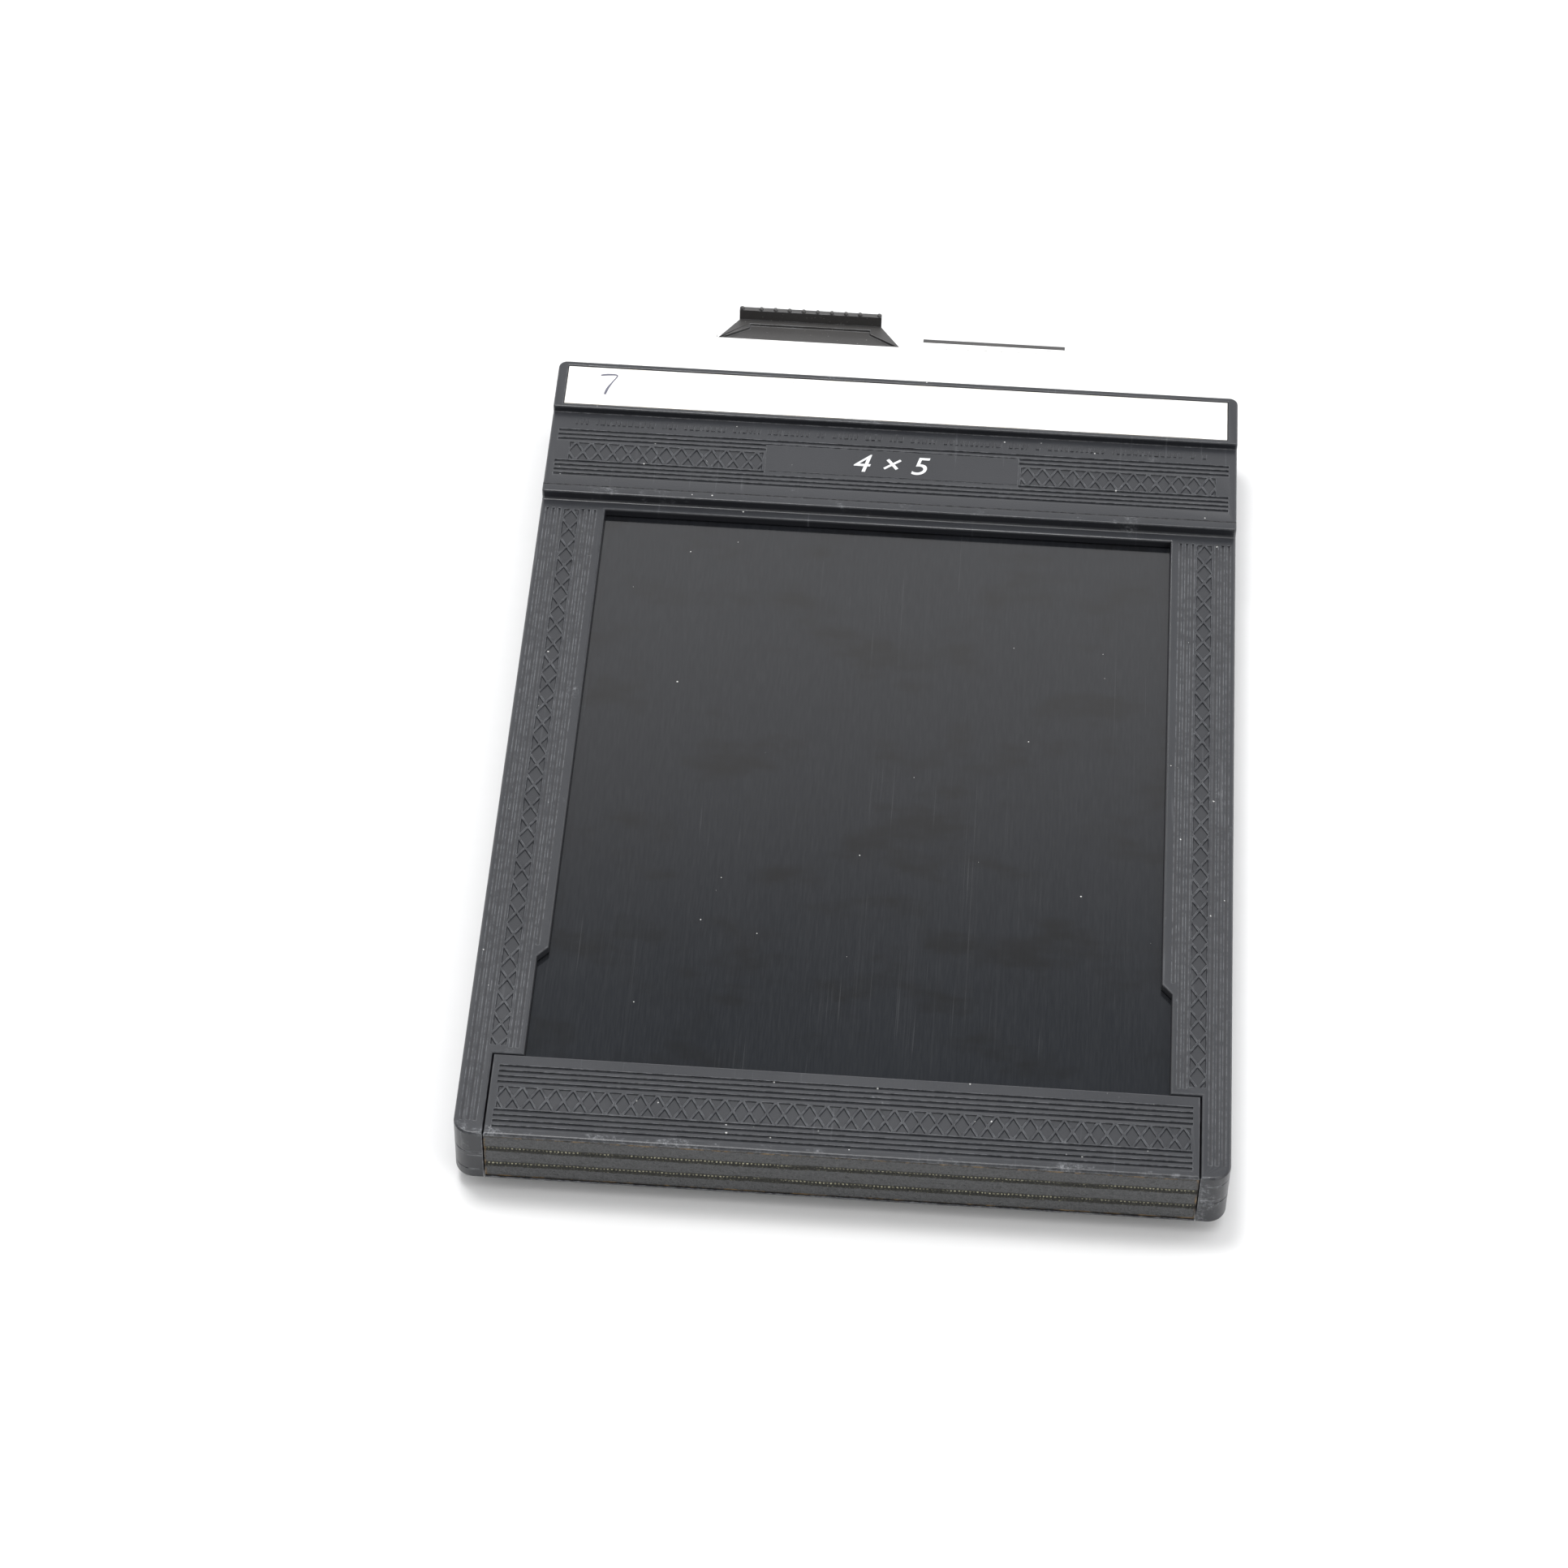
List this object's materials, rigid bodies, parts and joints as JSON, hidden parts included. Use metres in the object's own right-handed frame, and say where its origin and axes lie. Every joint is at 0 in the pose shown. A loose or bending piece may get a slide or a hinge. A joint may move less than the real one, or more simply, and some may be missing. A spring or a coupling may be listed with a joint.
{
  "type": "sheet film holder",
  "caption": "Double-sided sheet film holder for large format cameras, with a dark slide and a cloth-hinged loading flap on each face.",
  "frame": {"origin": "under the middle of the outline, on the plane of the rear writing-strip section, which is the lowest face", "axes": "+X to the right across the front face, +Y from the loading flaps towards the dark slide handles, +Z out of the front face"},
  "size_m": [0.1204, 0.1914, 0.0168],
  "materials": {
    "case_plastic": "satin moulded, ribbed and diamond patterned",
    "core_plastic": "satin moulded",
    "black_metal": "matt black paint",
    "guide_metal": "dull rolled strip",
    "velvet": "short black pile",
    "spring_bronze": "rolled bronze strip",
    "writing_strip": "fine matt writing surface",
    "hinge_cloth": "coated book cloth with worn folds",
    "blade_sheet": "glossy black sheet with fine lengthwise drag marks",
    "handle_plastic": "satin moulded black",
    "white_plate": "glossy white"
  },
  "bodies": {
    "root": {"front_frame": "case_plastic", "rear_frame": "case_plastic", "septum": "black_metal", "slot_spacer": "core_plastic", "end_bar": "core_plastic", "front_guide_left": "guide_metal", "front_guide_right": "guide_metal", "rear_guide_left": "guide_metal", "rear_guide_right": "guide_metal", "front_velvet_outer": "velvet", "front_velvet_inner": "velvet", "rear_velvet_outer": "velvet", "rear_velvet_inner": "velvet", "front_trap_spring": "spring_bronze", "rear_trap_spring": "spring_bronze", "front_writing_strip": "writing_strip", "rear_writing_strip": "writing_strip", "hinge_cloth_centre": "hinge_cloth"},
    "front_slide": {"front_blade": "blade_sheet", "front_handle": "handle_plastic", "front_face_plate": "white_plate"},
    "rear_slide": {"rear_blade": "blade_sheet", "rear_handle": "handle_plastic", "rear_face_plate": "white_plate"},
    "front_flap": {"front_flap": "case_plastic", "front_flap_felt": "velvet", "front_hinge_cloth": "hinge_cloth"},
    "rear_flap": {"rear_flap": "case_plastic", "rear_flap_felt": "velvet", "rear_hinge_cloth": "hinge_cloth"}
  },
  "joints": [
    {"name": "front_slide_pull", "type": "slide", "parent": "root", "child": "front_slide", "axis": [0, 1, 0], "range_m": [0, 0.165]},
    {"name": "rear_slide_pull", "type": "slide", "parent": "root", "child": "rear_slide", "axis": [0, 1, 0], "range_m": [0, 0.165]},
    {"name": "front_flap_hinge", "type": "hinge", "parent": "root", "child": "front_flap", "pos_m": [0, -0.09573, 0.01027], "axis": [1, 0, 0], "range_deg": [0, 110]},
    {"name": "rear_flap_hinge", "type": "hinge", "parent": "root", "child": "rear_flap", "pos_m": [0, -0.09573, 0.00653], "axis": [-1, 0, 0], "range_deg": [0, 110]}
  ]
}
